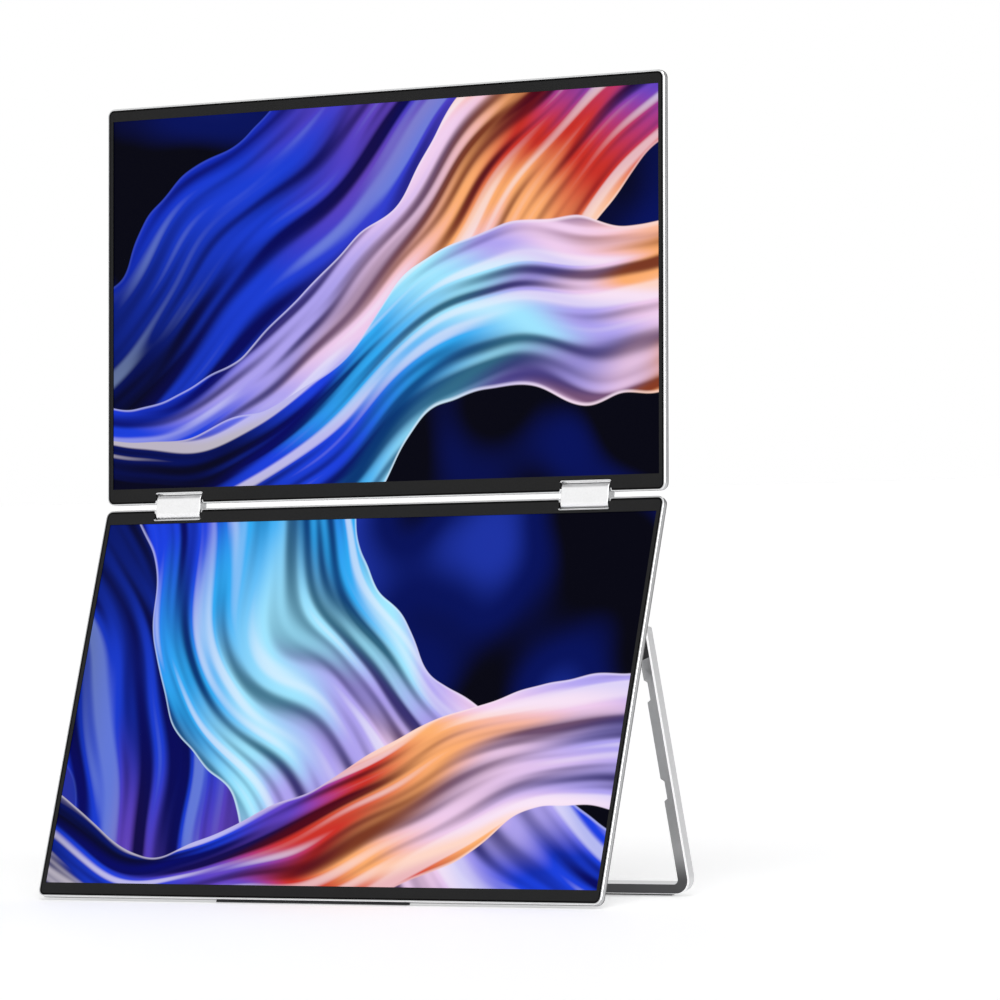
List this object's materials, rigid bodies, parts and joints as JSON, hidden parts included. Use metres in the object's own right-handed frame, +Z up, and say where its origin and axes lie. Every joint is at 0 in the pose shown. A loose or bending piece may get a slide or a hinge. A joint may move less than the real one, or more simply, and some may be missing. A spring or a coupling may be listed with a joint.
{
  "type": "dual portable monitor",
  "caption": "Dual portable monitor: two thin flat screens stacked on twin-axis hinges, with a rear housing for the boards and ports and a folding U-shaped kickstand.",
  "frame": {"origin": "middle of the bounding box, on the surface that the object stands on", "axes": "+X to the right seen from in front of the screens, +Y to the back, +Z up; the screens face -Y"},
  "size_m": [0.3514, 0.0888, 0.4101],
  "materials": {
    "silver_aluminium": "bead-blasted, anodised silver",
    "bezel_black": "fine matte",
    "screen": "smooth lit picture",
    "backlight_white": "matte",
    "steel": "plain",
    "black_steel": "black oxide, satin",
    "brass": "turned",
    "black_rubber": "matte",
    "board_green": "solder mask",
    "black_plastic": "moulded",
    "silver_plastic": "moulded, satin",
    "clear_plastic": "clear light guide",
    "cable_grey": "flat cable"
  },
  "bodies": {
    "lower_monitor": {"lower_shell": "silver_aluminium", "lower_bezel": "bezel_black", "lower_lcd_panel": "screen", "lower_backlight": "backlight_white", "lower_bracket_screws": "steel", "lower_hinge_shafts": "steel", "lower_friction_washers": "steel", "lower_shaft_nuts": "steel", "lower_hinge_bracket_left": "steel", "lower_hinge_bracket_right": "steel", "housing_frame": "silver_aluminium", "hinge_cap_left": "silver_aluminium", "hinge_cap_right": "silver_aluminium", "rear_cover": "silver_aluminium", "vesa_inserts": "brass", "cover_screws": "steel", "rear_feet": "black_rubber", "upper_driver_board": "board_green", "lower_driver_board": "board_green", "usb_c_ports": "steel", "mini_hdmi_ports": "steel", "status_light_pipes": "clear_plastic", "board_screws": "steel", "key_board": "board_green", "jog_switches": "black_plastic", "key_ribbon": "cable_grey", "edge_foot": "black_rubber", "kick_hinge_base_left": "black_steel", "kick_hinge_base_right": "black_steel", "kick_base_screws": "steel"},
    "hinge_link": {"hinge_block_left": "silver_aluminium", "hinge_block_right": "silver_aluminium", "hinge_core_left": "steel", "hinge_core_right": "steel", "hinge_end_plates": "steel"},
    "upper_monitor": {"upper_shell": "silver_aluminium", "upper_bezel": "bezel_black", "upper_lcd_panel": "screen", "upper_backlight": "backlight_white", "upper_bracket_screws": "steel", "upper_hinge_shafts": "steel", "upper_friction_washers": "steel", "upper_shaft_nuts": "steel", "upper_hinge_bracket_left": "steel", "upper_hinge_bracket_right": "steel"},
    "kickstand": {"kickstand_frame": "silver_aluminium", "kickstand_leaf_left": "black_steel", "kickstand_leaf_right": "black_steel", "kickstand_leaf_screws": "black_steel", "kickstand_shafts": "steel", "kickstand_shaft_nuts": "steel", "kickstand_bushings": "brass", "kickstand_rubber_strips": "black_rubber"},
    "top_jog_slide": {"jog_slide_top": "black_plastic"},
    "top_jog_lever": {"jog_lever_top": "silver_plastic"},
    "bottom_jog_slide": {"jog_slide_bottom": "black_plastic"},
    "bottom_jog_lever": {"jog_lever_bottom": "silver_plastic"}
  },
  "joints": [
    {"name": "hinge_link_tilt", "type": "hinge", "parent": "lower_monitor", "child": "hinge_link", "pos_m": [0, 0.02525, 0.19637], "axis": [-1, 0, 0], "range_deg": [-82, 68]},
    {"name": "upper_monitor_tilt", "type": "hinge", "parent": "hinge_link", "child": "upper_monitor", "pos_m": [0, 0.02663, 0.20344], "axis": [-1, 0, 0], "range_deg": [-82, 68]},
    {"name": "kickstand_swing", "type": "hinge", "parent": "lower_monitor", "child": "kickstand", "pos_m": [0, 0.0092, 0.1321], "axis": [1, 0, 0], "range_deg": [-32.9, 42]},
    {"name": "top_jog_push", "type": "slide", "parent": "lower_monitor", "child": "top_jog_slide", "axis": [-1, 0, 0], "range_m": [0, 0.0006], "stiffness_N_per_m": 1500},
    {"name": "top_jog_tilt", "type": "hinge", "parent": "top_jog_slide", "child": "top_jog_lever", "pos_m": [0.15838, 0.00021, 0.10399], "axis": [0, 0.9455, -0.3256], "range_deg": [-6, 6], "stiffness_Nm_per_rad": 0.06},
    {"name": "bottom_jog_push", "type": "slide", "parent": "lower_monitor", "child": "bottom_jog_slide", "axis": [-1, 0, 0], "range_m": [0, 0.0006], "stiffness_N_per_m": 1500},
    {"name": "bottom_jog_tilt", "type": "hinge", "parent": "bottom_jog_slide", "child": "bottom_jog_lever", "pos_m": [0.15838, -0.01638, 0.05579], "axis": [0, 0.9455, -0.3256], "range_deg": [-6, 6], "stiffness_Nm_per_rad": 0.06}
  ],
  "couplings": [
    {"joint": "hinge_link_tilt", "follows": "upper_monitor_tilt", "ratio": 1}
  ]
}
